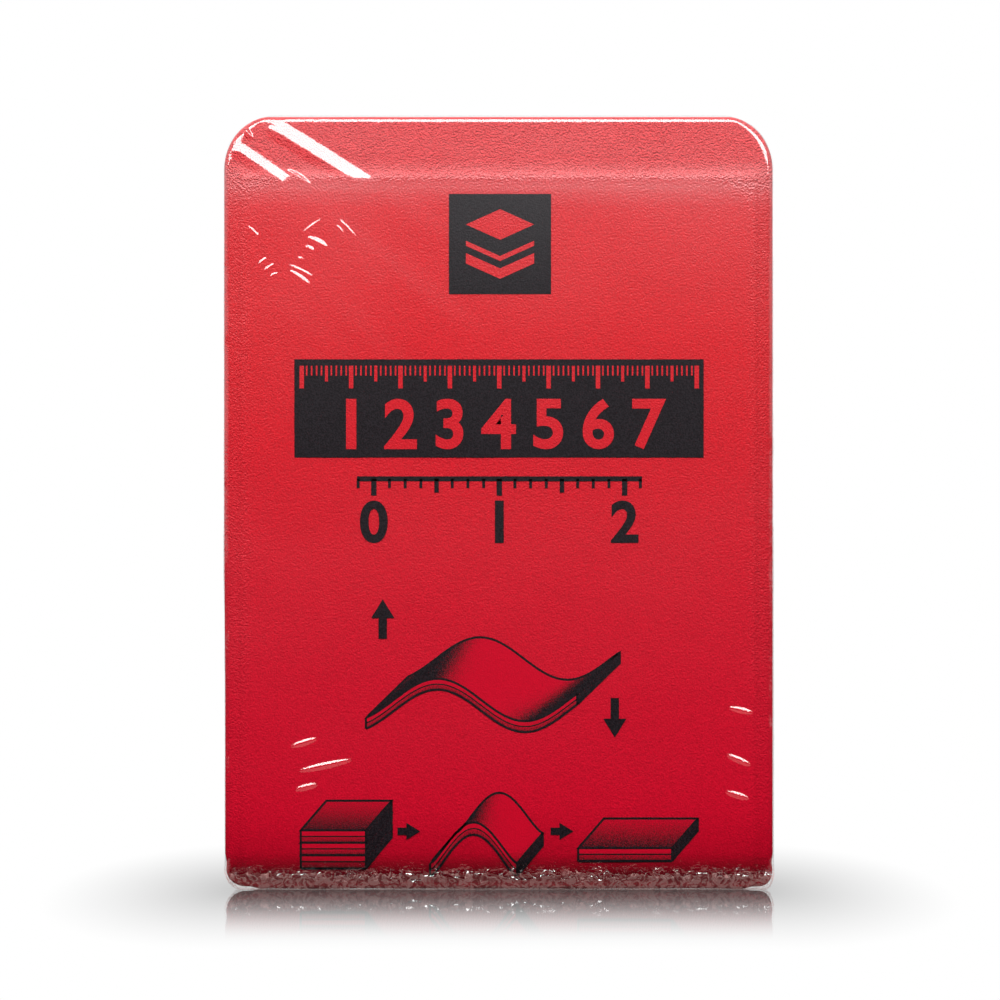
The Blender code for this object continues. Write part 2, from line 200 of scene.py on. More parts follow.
def half_width_at(s):
    """Half the foam's width at s, with rounded ends, pinched where the film pulls at a fold."""
    from_end = min(s, STRIP_LENGTH - s)
    beyond = max(CORNER_RADIUS - from_end, 0.0)
    inset = CORNER_RADIUS - math.sqrt(max(CORNER_RADIUS**2 - beyond**2, 0.0))
    heading = walk(s)[2]
    if heading < math.pi:
        pinch = BOTTOM_FOLD_PINCH * math.sin(max(heading, 0.0)) ** 2
    else:
        pinch = TOP_FOLD_PINCH * math.sin((heading - math.pi) / 2)
    pinch = max(pinch, TOP_FOLD_PINCH * top_fold_nearness(s))
    return STRIP_WIDTH / 2 - inset - pinch


def top_fold_nearness(s):
    """0 on the front panel, 1 in the top fold, rising over the last stretch of the back panel."""
    rise = smooth((s - STARTS[BACK_SEGMENT + 1]) / EDGE_ROLL_FADE + 1)
    return rise * (1 - smooth((s - STARTS[BACK_SEGMENT + 2]) / EDGE_ROLL_FADE))


def edge_roll(s, share):
    """How far a foam edge is rolled inwards at s. share is 0 in the middle, 1 at the edge."""
    margin_share = 2 * CORE_SIDE_MARGIN / STRIP_WIDTH
    across = min(max((abs(share) - 1 + margin_share) / margin_share, 0.0), 1.0)
    rolled = smooth(s / CORNER_RADIUS)
    rolled *= 1 - smooth((s - STARTS[BACK_SEGMENT + 1]) / EDGE_ROLL_FADE + 1)
    heading = min(max(walk(s)[2], 0.0), math.pi)
    return EDGE_ROLL * across**2 * rolled * (1 - 0.85 * math.sin(heading))


def margin_at(s, share):
    """0 where a foam layer lies on the aluminium, 1 in the margin round it."""
    u_past = abs(share) * STRIP_WIDTH / 2 - (STRIP_WIDTH / 2 - CORE_SIDE_MARGIN)
    s_past = CORE_END_MARGIN - min(s, STRIP_LENGTH - s)
    steps = [smooth((past - STEP_CLEARANCE) / STEP_LENGTH) for past in (u_past, s_past)]
    return 1 - (1 - steps[0]) * (1 - steps[1])


def rounding_at(s, share):
    """How far a foam layer's outer face is rounded down near the strip's edge."""
    from_edge = min(s, STRIP_LENGTH - s, (1 - abs(share)) * STRIP_WIDTH / 2)
    inside = max(EDGE_ROUNDING - from_edge, 0.0)
    return EDGE_ROUNDING - math.sqrt(max(EDGE_ROUNDING**2 - inside**2, 0.0))


def along_and_away(x, z, fold):
    """Where a point lies beside a fold: its share along the fold, and its distance above it."""
    x0, z0, x1, z1 = fold[:4]
    run = math.hypot(x1 - x0, z1 - z0)
    dx, dz = (x1 - x0) / run, (z1 - z0) / run
    along = ((x - x0) * dx + (z - z0) * dz) / run
    away = (z - z0) * dx - (x - x0) * dz
    return along, away


# Meshes


def steps(first, last, step):
    """Evenly spread values from first to last, about a step apart."""
    count = max(round((last - first) / step), 1)
    return [first + (last - first) * i / count for i in range(count + 1)]


def thinned(values, least):
    """The values in order, without those nearer than least to the one before."""
    kept = []
    for value in sorted(values):
        if not kept or value - kept[-1] > least:
            kept.append(value)
    return kept


def tube(section, rows, place):
    """A closed bmesh through like sections: place(section value, row value) gives each point."""
    bm = bmesh.new()
    x_count = len(section)
    y_count = len(rows) - 1
    bmesh.ops.create_grid(bm, x_segments=x_count, y_segments=y_count, size=0.5)
    for vert in bm.verts:
        around = section[round((vert.co.x + 0.5) * x_count) % x_count]
        row = rows[round((vert.co.y + 0.5) * y_count)]
        vert.co = place(around, row)
    bmesh.ops.remove_doubles(bm, verts=bm.verts, dist=1e-6)
    bmesh.ops.holes_fill(bm, edges=[edge for edge in bm.edges if edge.is_boundary])
    bmesh.ops.recalc_face_normals(bm, faces=bm.faces)
    return bm


def placed(name, data):
    """A new object in the scene."""
    holder = bpy.data.objects.new(name, data)
    bpy.context.scene.collection.objects.link(holder)
    return holder


def made_piece(name, bm, material, body="root", replaced=()):
    """The bmesh as a piece that rides on a body."""
    mesh = bpy.data.meshes.new(name)
    bm.to_mesh(mesh)
    bm.free()
    mesh.shade_smooth()
    mesh.set_sharp_from_angle(angle=math.radians(50))
    piece = placed(name, mesh)
    mesh.materials.append(material)
    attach(piece, body)
    if replaced:
        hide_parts(*replaced)
    return piece


def set_attribute(piece, name, value_of):
    """Gives the piece's mesh a number at each point, worked out from the point's place."""
    attribute = piece.data.attributes.new(name, "FLOAT", "POINT")
    values = [value_of(vert.co) for vert in piece.data.vertices]
    attribute.data.foreach_set("value", np.array(values, np.float32))


# Materials


class Nodes:
    """The nodes of one tree. A value is a socket to read, or a number or colour to set."""

    def __init__(self, tree):
        self.tree = tree

    def add(self, kind, **settings):
        """A new shader node."""
        node = self.tree.nodes.new("ShaderNode" + kind)
        for key, value in settings.items():
            setattr(node, key, value)
        return node

    def fill(self, socket, value):
        """Links or sets an input socket."""
        if isinstance(value, bpy.types.NodeSocket):
            self.tree.links.new(value, socket)
        else:
            socket.default_value = value

    def filled(self, kind, values, **settings):
        """A new node with the values in its inputs, which are given by name or number."""
        node = self.add(kind, **settings)
        for name, value in values.items():
            self.fill(node.inputs[name], value)
        return node

    def maths(self, operation, *values):
        """The result of a math node."""
        return self.filled("Math", dict(enumerate(values)), operation=operation).outputs[0]

    def mapped(self, value, low, high, to_low, to_high, kind="SMOOTHSTEP"):
        """value, moved from one range to another."""
        inputs = {"Value": value, "From Min": low, "From Max": high,
                  "To Min": to_low, "To Max": to_high}
        return self.filled("MapRange", inputs, interpolation_type=kind).outputs["Result"]

    def mixed_colours(self, share, first, second):
        """first at share 0, second at share 1."""
        inputs = {0: share, 6: first, 7: second}
        return self.filled("Mix", inputs, data_type="RGBA").outputs[2]

    def mixed_numbers(self, share, first, second):
        """first at share 0, second at share 1."""
        inputs = {0: share, 2: first, 3: second}
        return self.filled("Mix", inputs, data_type="FLOAT").outputs[0]

    def mixed_shaders(self, share, first, second):
        """first at share 0, second at share 1."""
        return self.filled("MixShader", {0: share, 1: first, 2: second}).outputs[0]

    def scaled(self, vector, scale):
        """The vector or colour times a number."""
        inputs = {0: vector, "Scale": scale}
        return self.filled("VectorMath", inputs, operation="SCALE").outputs[0]

    def noise(self, place, scale, detail=2.0, distortion=0.0):
        """The value of a noise texture."""
        inputs = {"Vector": place, "Scale": scale, "Detail": detail, "Distortion": distortion}
        return self.filled("TexNoise", inputs).outputs["Fac"]

    def bump(self, height, deepest):
        """A normal tilted by a height from 0 to 1, which stands for deepest millimetres."""
        return self.filled("Bump", {"Distance": deepest * MM, "Height": height}).outputs["Normal"]

    def place(self):
        """The place on the piece, in metres."""
        return self.add("TexCoord").outputs["Object"]

    def attribute(self, name):
        """A number that the mesh holds at each of its points."""
        return self.add("Attribute", attribute_name=name).outputs["Fac"]


def pebble_group():
    """The fine pebbled skin of closed-cell foam: a height, and a fleck value for colour."""
    tree = bpy.data.node_groups.new("foam_pebble", "ShaderNodeTree")
    for name, in_out in (("Grain Size", "INPUT"), ("Height", "OUTPUT"), ("Fleck", "OUTPUT")):
        tree.interface.new_socket(name=name, in_out=in_out, socket_type="NodeSocketFloat")
    nodes = Nodes(tree)
    inputs, outputs = tree.nodes.new("NodeGroupInput"), tree.nodes.new("NodeGroupOutput")
    in_grains = nodes.maths("DIVIDE", 1 / MM, inputs.outputs["Grain Size"])
    place = nodes.scaled(nodes.place(), in_grains)
    cells = nodes.filled("TexVoronoi", {"Scale": 1.0, "Smoothness": 0.6, "Vector": place},
                         feature="SMOOTH_F1")
    ripple = nodes.noise(place, 1.3, detail=3.0)
    height = nodes.maths("MULTIPLY_ADD", cells.outputs["Distance"], -0.7, ripple)
    nodes.fill(outputs.inputs["Height"], height)
    nodes.fill(outputs.inputs["Fleck"], ripple)
    return tree


def material(name, roughness, metallic=0.0):
    """A new node material, with its Principled shader and its nodes."""
    made = bpy.data.materials.new(name)
    made.use_nodes = True
    shader = made.node_tree.nodes["Principled BSDF"]
    shader.inputs["Roughness"].default_value = roughness
    shader.inputs["Metallic"].default_value = metallic
    return made, shader, Nodes(made.node_tree)


PEBBLE = pebble_group()
# The grain's size and depth in millimetres, and how much of its height shows under the ink
GRAIN_SIZE = 0.40
FOAM_GRAIN_DEPTH = 0.26
INK_GRAIN_DEPTH = 0.16
INK_GRAIN = 0.25
# The range that the pebble's fleck value mostly keeps to
FLECK_RANGE = (0.35, 0.65)
FOAM_ROUGHNESS = 0.55
# How much the ink shines, as a share of the foam's shine
INK_SHINE = 0.6
# The foam's red low down, and the lighter, warmer red it turns to higher up: painted light from
# above
FOAM_LOW = (0.600, 0.0035, 0.0235, 1.0)
FOAM_PAINTED_LIGHT_RED = (0.640, 0.0045, 0.0120, 1.0)
INK_LIGHT = (0.020, 0.016, 0.020, 1.0)
INK_DARK = (0.008, 0.006, 0.008, 1.0)
# The share of light that the film mirrors: seen head-on, at a grazing angle, and where it is
# gathered into many layers
HEAD_ON_GLOSS = 0.09
GRAZING_GLOSS = 0.34
GATHERED_GLOSS = 0.46
# The depth of the film's crinkles in millimetres, and that of its slow waves as a share of it
CRINKLE_DEPTH = 0.25
WAVE_SHARE = 0.12
WHITE = (1.0, 1.0, 1.0, 1.0)


def red_foam_material():
    """Red foam. Its attributes say how strongly the skin shines (haze), how much painted light
    from above makes its red lighter and warmer towards the top (rise), how much painted shade
    darkens it low down and on the leaning end (tone), and how deep its grain shows (grain)."""
    made, shader, nodes = material("red_foam", FOAM_ROUGHNESS)
    shader.inputs["IOR"].default_value = 1.6
    pebble = nodes.filled("Group", {"Grain Size": GRAIN_SIZE}, node_tree=PEBBLE)
    # Painted light: the rise attribute turns the red lighter and warmer towards the top
    colour = nodes.mixed_colours(nodes.attribute("rise"), FOAM_LOW, FOAM_PAINTED_LIGHT_RED)
    fleck = nodes.mapped(pebble.outputs["Fleck"], *FLECK_RANGE, 0.90, 1.08)
    # Painted shade: the tone attribute darkens the red low down and on the leaning end
    tone = nodes.maths("MULTIPLY", fleck, nodes.attribute("tone"))
    nodes.fill(shader.inputs["Base Color"], nodes.scaled(colour, tone))
    nodes.fill(shader.inputs["Specular IOR Level"], nodes.attribute("haze"))
    height = nodes.maths("MULTIPLY", pebble.outputs["Height"], nodes.attribute("grain"))
    nodes.fill(shader.inputs["Normal"], nodes.bump(height, FOAM_GRAIN_DEPTH))
    return made


def ink_material():
    """Black ink printed on the foam. The shade attribute thins it to the foam's own red."""
    made, shader, nodes = material("print_ink", FOAM_ROUGHNESS)
    pebble = nodes.filled("Group", {"Grain Size": GRAIN_SIZE}, node_tree=PEBBLE)
    shine = nodes.maths("MULTIPLY", nodes.attribute("haze"), INK_SHINE)
    nodes.fill(shader.inputs["Specular IOR Level"], shine)
    shade = nodes.add("UVMap", uv_map="shade").outputs["UV"]
    thinned_by = nodes.filled("SeparateXYZ", {"Vector": shade}).outputs["X"]
    dots = nodes.maths("SUBTRACT", nodes.noise(nodes.place(), 5200.0, detail=1.0), 0.5)
    dotted = nodes.maths("MULTIPLY_ADD", dots, 0.9, thinned_by)
    bare = nodes.mapped(dotted, 0.12, 0.88, 0.0, 1.0)
    fleck = nodes.mapped(pebble.outputs["Fleck"], *FLECK_RANGE, 0.0, 1.0)
    ink = nodes.mixed_colours(fleck, INK_DARK, INK_LIGHT)
    nodes.fill(shader.inputs["Base Color"], nodes.mixed_colours(bare, ink, FOAM_LOW))
    height = nodes.maths("MULTIPLY", pebble.outputs["Height"], INK_GRAIN)
    nodes.fill(shader.inputs["Normal"], nodes.bump(height, INK_GRAIN_DEPTH))
    return made


def film_material():
    """Clear glossy film: mostly see-through, and it mirrors more at its edges and gathers."""
    made, shader, nodes = material("clear_film", 0.07, metallic=1.0)
    shader.inputs["Base Color"].default_value = WHITE
    place = nodes.place()
    wave = nodes.noise(place, 260.0)
    crinkle = nodes.noise(place, 560.0, detail=1.5, distortion=2.2)
    deep = nodes.maths("MULTIPLY", crinkle, nodes.attribute("crinkle"))
    height = nodes.maths("MULTIPLY_ADD", wave, WAVE_SHARE, deep)
    normal = nodes.bump(height, CRINKLE_DEPTH)
    nodes.fill(shader.inputs["Normal"], normal)
    facing = nodes.filled("LayerWeight", {"Blend": 0.5, "Normal": normal}).outputs["Facing"]
    layers = nodes.mapped(deep, 0.36, 0.62, HEAD_ON_GLOSS, GATHERED_GLOSS)
    share = nodes.mixed_numbers(nodes.maths("POWER", facing, 5.0), layers, GRAZING_GLOSS)
    clear = nodes.add("BsdfTransparent").outputs[0]
    surface = made.node_tree.nodes["Material Output"].inputs["Surface"]
    nodes.fill(surface, nodes.mixed_shaders(share, clear, shader.outputs[0]))
    return made


def aluminium_material():
    """Soft rolled aluminium, with fine lines along the strip."""
    made, shader, nodes = material("soft_aluminium", 0.35, metallic=1.0)
    stretched = {"Vector": nodes.place(), "Scale": (4000.0, 120.0, 120.0)}
    lines = nodes.noise(nodes.filled("Mapping", stretched).outputs[0], 1.0)
    colour = nodes.mixed_colours(lines, (0.70, 0.70, 0.72, 1.0), (0.86, 0.86, 0.88, 1.0))
    nodes.fill(shader.inputs["Base Color"], colour)
    nodes.fill(shader.inputs["Roughness"], nodes.mapped(lines, 0.3, 0.7, 0.28, 0.45))
    return made


RED_FOAM = red_foam_material()
PRINT_INK = ink_material()
CLEAR_FILM = film_material()
frame["nodes"]["aluminium_core"].data.materials.clear()
frame["nodes"]["aluminium_core"].data.materials.append(aluminium_material())


# The two foam layers


def foam_rows():
    """Stations along the strip, closer together at its ends, its steps and its bends."""
    rows = [0.0, 0.0001, 0.00025, 0.00045, 0.0007, 0.001] + steps(0.001, 0.010, 0.0009)
    rows += steps(0.010, 0.0145, 0.00025)
    rows += [STRIP_LENGTH - row for row in rows]
    for (length, turn), start in zip(SEGMENTS, STARTS):
        rows += steps(start, start + length, length * math.radians(6) / turn if turn else 0.0028)
    return thinned([row for row in rows if 0 <= row <= STRIP_LENGTH], 0.00008)


def foam_shares():
    """Places across the strip, closer together at its edges."""
    insets = [0.0, 0.0001, 0.00025, 0.00045, 0.0007, 0.001, 0.0014, 0.0019]
    insets += steps(0.0024, 0.0045, 0.0003) + [0.0055, 0.007, 0.009]
    edge = [1 - 2 * inset / STRIP_WIDTH for inset in insets]
    middle = steps(-edge[-1], edge[-1], 0.055)
    return thinned([-share for share in edge] + middle + edge, 1e-5)


def foam_layer(name, side, replaced):
    """A foam layer on one side of the aluminium: side is 1 outside the folds and -1 inside."""
    shares = foam_shares()
    section = [(share, 1) for share in shares] + [(share, -1) for share in reversed(shares)]

    def place(around, s):
        share, face = around
        near = CORE_THICKNESS / 2 + LAYER_GAP - MARGIN_CLOSING * margin_at(s, share)
        is_far = face == side
        hand = -1 if share < 0 else 1
        half = half_width_at(s) + (LEFT_BULGE if share < 0 else RIGHT_BULGE)
        u = share * half
        sag = SAG * smooth(noise.noise(Vector((u, s, side)) * 90) + 0.5) if is_far else 0.0
        thick = FOAM_THICKNESS - rounding_at(s, share) - sag if is_far else 0.0
        point = strip_point(s, u, side * (near + thick) - edge_roll(s, share))
        point.z += TOP_BULGE * smooth(1 - s / CORNER_RADIUS)
        if share < 0:
            point.x += lean_left(point.z) * share
        if side < 0 or not is_far:
            return point
        pressed_down(point)
        low = max(1 - point.z / BOTTOM_FOLD_CENTRE_Z, 0.0)
        spread = film_low_half_width(point.z, hand) - FILM_NEARNESS - half
        point.x += spread * smooth(2 * low) * hand * abs(share)**7
        return point

    bm = tube(section, foam_rows(), place)
    piece = made_piece(name, bm, RED_FOAM, replaced=(replaced,))
    set_looks(piece)
    return piece


# Height in millimetres, and how strongly the foam's skin shines there through the film
HAZE_HEIGHTS = (0, 10, 18, 30, 42, 55, 67, 91, 110, 122, 134, 140, 142.5, 144.8, 148.0, 157)
HAZE_LEVELS = (
    0.0, 0.005, 0.030, 0.085, 0.13, 0.20, 0.27, 0.27,
    0.37, 0.56, 0.68, 0.90, 1.75, 1.45, 0.66, 0.66,
)
# Soft veils in the film: x and z of both ends in millimetres, half width, strength
VEILS = (
    (-34.5, 137.0, -3.0, 113.0, 3.4, 0.30),
    (-35.0, 130.6, -22.5, 123.4, 1.6, 0.25),
    (-32.3, 118.7, -14.0, 101.5, 3.0, 0.22),
    (-46.0, 121.0, -30.0, 108.0, 3.0, 0.15),
    (-22.0, 141.0, 2.0, 126.0, 3.4, 0.20),
)


def haze_at(point):
    """How strongly the skin shines at a place, with the film's soft veils."""
    x, z = point.x / MM, point.z / MM
    level = float(np.interp(z, HAZE_HEIGHTS, HAZE_LEVELS))
    drift = noise.noise(Vector((x * 0.035 + 4.0, 1.7, z * 0.05)))
    veil = 0.0
    for fold in VEILS:
        along, away = along_and_away(x, z, fold)
        ends = smooth((along + 0.1) / 0.3) * smooth((1.1 - along) / 0.3)
        veil = max(veil, fold[5] * ends * smooth(1 - abs(away) / fold[4]))
    return max(level * (1 + 0.25 * drift + veil), 0.0)


def painted_shade_at(point):
    """Painted shade, as a share of the foam's lightness: darker low down, where the fold turns
    down away from the light, and a little darker on the end that leans back into the light.
    """
    low, high = smooth((point.z - 0.005) / 0.013), smooth((point.z - 0.1440) / 0.0035)
    return 1 - 0.24 * (1 - low) - 0.03 * high


def set_looks(piece):
    """The attributes that the foam's material reads."""
    set_attribute(piece, "grain", grain_at)
    set_attribute(piece, "haze", haze_at)
    # rise is painted light: the red turns lighter and warmer from 20 mm up to 130 mm
    set_attribute(piece, "rise", lambda point: smooth((point.z - 0.020) / 0.110))
    # tone is painted shade: darker low down and on the end that leans back into the light
    set_attribute(piece, "tone", painted_shade_at)


def grain_at(point):
    """How deep the grain shows: less where the film presses the foam flat on the aluminium."""
    from_side = abs(point.x) - (STRIP_WIDTH / 2 - CORE_SIDE_MARGIN)
    from_top = point.z - (STRIP_TOP - CORE_END_MARGIN)
    corner = 0.008
    across, up = max(from_side + corner, 0.0), max(from_top + corner, 0.0)
    outside = math.hypot(across, up) - corner
    full = 0.50 + 1.45 * smooth((from_top + 0.004) / 0.008)
    return 0.30 + (full - 0.30) * smooth((outside + 0.0010) / 0.0022)


foam_layer("folded_foam_outside", 1, "outer_foam")
foam_layer("folded_foam_inside", -1, "inner_foam")


# The film. Creases are listed in millimetres on the front, from its middle and from the base:
# x and z of one end, x and z of the other, and the half width in the middle of their length

CREASES = (
    (-50.8, 134.4, -48.6, 132.3, 0.50),
    (-39.6, 133.3, -36.1, 135.9, 0.50),
    (-32.5, 136.0, -28.6, 131.9, 0.65),
    (-32.9, 134.7, -31.3, 132.6, 0.65),
    (-38.5, 132.1, -34.9, 130.3, 0.95),
    (-39.1, 130.4, -37.5, 129.4, 0.72),
    (-40.8, 128.1, -39.6, 127.8, 0.50),
    (-48.8, 126.7, -47.2, 128.0, 0.50),
    (-47.6, 125.4, -45.7, 126.8, 0.50),
    (-46.4, 124.3, -44.9, 125.0, 0.50),
    (-42.4, 126.6, -37.8, 124.3, 0.55),
    (-42.1, 125.3, -38.5, 122.7, 0.85),
    (-42.4, 145.6, -38.3, 143.0, 0.70),
    (-51.6, 154.3, -50.3, 152.5, 0.70),
    (46.8, 37.0, 51.1, 36.1, 0.70),
    (46.4, 27.4, 50.6, 25.6, 0.70),
    (46.2, 20.0, 50.2, 18.8, 0.70),
    (-41.8, 29.3, -37.3, 30.7, 0.70),
    (-39.8, 24.4, -30.6, 26.4, 0.75),
    (-41.0, 20.6, -37.1, 21.5, 0.70),
)
# How steep a crease's sides are, so that the upper one mirrors the light
CREASE_RISE = 0.53
CREASE_STEEPEST = 0.75

# Wide soft folds: x and z of both ends, half width and height
SOFT_FOLDS = (
    (26.0, 123.6, 28.7, 120.2, 0.60, 0.08),
    (43.5, 99.2, 52.6, 99.9, 0.80, 0.10),
    (44.5, 89.6, 52.8, 90.4, 0.80, 0.10),
    (43.0, 85.2, 51.5, 86.6, 0.80, 0.10),
    (45.0, 70.2, 52.6, 70.8, 0.80, 0.10),
    (-34.5, 137.0, -3.0, 113.0, 3.6, 0.16),
    (-35.0, 130.6, -22.5, 123.4, 1.5, 0.12),
    (-32.3, 118.7, -14.0, 101.5, 3.4, 0.12),
    (-46.0, 121.0, -30.0, 108.0, 3.0, 0.10),
    (-22.0, 141.0, 2.0, 126.0, 3.6, 0.12),
)

# Tight flat-sided folds that run down from the top left corner: x and z of the crest's two ends,
# the width of its upper side, of its lower side, and its height
FACET_FOLDS = (
    (-46.4, 154.2, -24.8, 140.7, 2.8, 1.3, 0.50),
    (-54.0, 150.2, -43.0, 142.6, 2.2, 1.1, 0.36),
    (-44.9, 143.4, -40.9, 140.7, 1.3, 0.8, 0.22),
)


def front_folds(x, z):
    """How far the folds lift the front of the film at a place in millimetres, in millimetres."""
    lift = 0.0
    for fold in SOFT_FOLDS:
        half_width, height = fold[4:]
        along, away = along_and_away(x, z, fold)
        if -0.2 < along < 1.2 and abs(away) < half_width:
            ends = smooth((along + 0.15) / 0.3) * smooth((1.15 - along) / 0.3)
            lift = max(lift, height * ends * smooth(1 - abs(away) / half_width))
    for fold in CREASES:
        along, away = along_and_away(x, z, fold)
        pointed = math.sqrt(max(1 - (2 * along - 1)**2 / 1.44, 0.0))
        half_width = fold[4] * pointed
        if abs(away) < half_width:
            run = math.hypot(fold[2] - fold[0], fold[3] - fold[1])
            rise = min(CREASE_RISE * run / abs(fold[2] - fold[0]), CREASE_STEEPEST)
            lift = max(lift, rise * (half_width - abs(away)))
    for fold in FACET_FOLDS:
        above, below, height = fold[4:]
        along, away = along_and_away(x, z, fold)
        if -0.1 < along < 1.1 and -below < away < above:
            ends = smooth((along + 0.08) / 0.2) * smooth((1.06 - along) / 0.12)
            side = 1 - away / above if away > 0 else 1 + away / below
            lift += height * ends * side
    return lift


# Heights in millimetres: how far up the base's gathers reach, and where the film's rows of
# points lie closer together
GATHERED_TOP = 6.5
FINE_ROWS_START = 110


def base_crinkle(x, z):
    """The gathered film at the base, in millimetres of lift."""
    fade = smooth((GATHERED_TOP - z) / 4.5)
    if fade == 0:
        return 0.0
    bend = noise.noise(Vector((x * 0.11, z * 0.2, 3.7)))
    swirl = noise.noise(Vector((x * 0.32 + 2.2 * bend, (z + 0.35 * x * bend) * 0.75, 1.3)))
    fine = noise.noise(Vector((x * 0.95 + 1.5 * swirl, z * 1.5, 8.1)))
    return fade * (0.62 * (0.5 - abs(swirl)) + 0.30 * (0.35 - abs(fine)))


def film_half_width(z, side):
    """Half the film's width at height z: side is -1 on the left and 1 on the right."""
    high = max(FILM_CORNER_RADIUS - (FILM_TOP - z), 0.0)
    rounding = FILM_CORNER_RADIUS - math.sqrt(max(FILM_CORNER_RADIUS**2 - high**2, 0.0))
    return film_low_half_width(z, side) - rounding


def bend_stations():
    """Stations at the ends of each straight run, and along each bend."""
    rows = []
    for (length, turn), start in zip(SEGMENTS, STARTS):
        rows += steps(start, start + length, length * math.radians(7.5) / turn if turn else length)
    return rows


def film_outline():
    """The film's tight outline from the side: heights, and the y of its front and back there."""
    tip_extra = 0.0002
    tip_rise = Vector((0.0, 0.0, 0.0002))
    margin = HALF_STRIP - MARGIN_CLOSING
    circles = [(strip_point(s, 0.0, HALF_STRIP), FILM_OFFSET)
               for s in bend_stations() if s > CORE_END_MARGIN - 0.0003]
    corner = EDGE_ROUNDING + FILM_OFFSET
    soft = EDGE_ROUNDING + tip_extra
    circles.append((strip_point(soft, 0.0, margin - soft) + tip_rise, corner + tip_extra))
    circles.append((strip_point(EDGE_ROUNDING, 0.0, EDGE_ROUNDING - margin) + tip_rise, corner))
    for side in (1, -1):
        base_y = side * (FILM_HALF_DEPTH - FILM_BASE_RADIUS)
        circles.append((Vector((0.0, base_y, FILM_BASE_RADIUS)), FILM_BASE_RADIUS))

    def edge(side):
        points = []
        for angle in steps(-math.pi / 2 + 0.001, math.pi / 2 - 0.001, math.radians(3)):
            away = Vector((0.0, side * math.cos(angle), math.sin(angle)))
            centre, radius = max(circles, key=lambda circle: circle[0].dot(away) + circle[1])
            points.append(centre + radius * away)
        return points

    front, back = edge(-1), edge(1)
    rows = sorted(point.z for point in front + back)
    fronts = np.interp(rows, [point.z for point in front], [point.y for point in front])
    backs = np.interp(rows, [point.z for point in back], [point.y for point in back])
    return np.array(rows), fronts, backs


OUTLINE_Z, OUTLINE_FRONT, OUTLINE_BACK = film_outline()
FILM_TOP = float(OUTLINE_Z[-1])


@functools.lru_cache(maxsize=None)
def film_level(z):
    """The film's left, right, front and back at height z."""
    front = float(np.interp(z, OUTLINE_Z, OUTLINE_FRONT))
    back = float(np.interp(z, OUTLINE_Z, OUTLINE_BACK))
    return -film_half_width(z, -1), film_half_width(z, 1), front, back


def film_point(place, z):
    """A point of the film on the level section at height z, before its folds are added."""
    (kind, quarter), share = place
    left, right, front, back = film_level(z)
    radius = min(FILM_EDGE_RADIUS, 0.45 * (back - front))
    corners = (
        (left + radius, front + radius),
        (right - radius, front + radius),
        (right - radius, back - radius),
        (left + radius, back - radius),
    )
    centre = Vector(corners[quarter % 4])
    angle = math.pi + math.pi / 2 * (quarter + (share if kind == "corner" else 1.0))
    point = centre + radius * Vector((math.cos(angle), math.sin(angle)))
    if kind == "face":
        point += share * (Vector(corners[(quarter + 1) % 4]) - centre)
    return Vector((point.x, point.y, z))


def film_section():
    """The points round a level section: pairs of a side or corner, and the share along it."""
    corner = steps(0.0, 1.0, 0.2)[:-1]
    span = 2 * (FILM_HALF_WIDTH - FILM_EDGE_RADIUS)
    front = steps(0.0, 1.0, 0.00078 / span)[:-1]
    back = steps(0.0, 1.0, 0.0028 / span)[:-1]
    shares = (front, [0.0, 0.33, 0.67], back, [0.0, 0.33, 0.67])
    points = []
    for quarter in range(4):
        points += [(("corner", quarter), share) for share in corner]
        points += [(("face", quarter), share) for share in shares[quarter]]
    return points


def film_rows():
    """The heights of the film's level sections."""
    tip_start = 0.1535
    rows = [0.0, 0.0002, 0.0005, 0.0009] + steps(0.0013, 0.009, 0.00042)
    rows += steps(0.009, 0.017, 0.0021) + steps(0.017, 0.039, 0.0009)
    rows += steps(0.039, 0.110, 0.0021) + steps(0.110, tip_start, 0.00075)
    tip = FILM_TOP - tip_start
    rows += [tip_start + tip * math.sin(angle)
             for angle in steps(0.0, math.pi / 2, math.radians(7))]
    return thinned(rows, 0.00003)


def in_creased_corner(place):
    """Whether a place in millimetres lies in the top left corner, where most creases are."""
    return place.x < -24 and 121 < place.z < 155.5


def is_near_crease(x, z, reach):
    """Whether a place on the front lies within reach millimetres of a crease."""
    for fold in CREASES:
        along, away = along_and_away(x, z, fold)
        if -0.4 < along < 1.4 and abs(away) < reach:
            return True
    return False


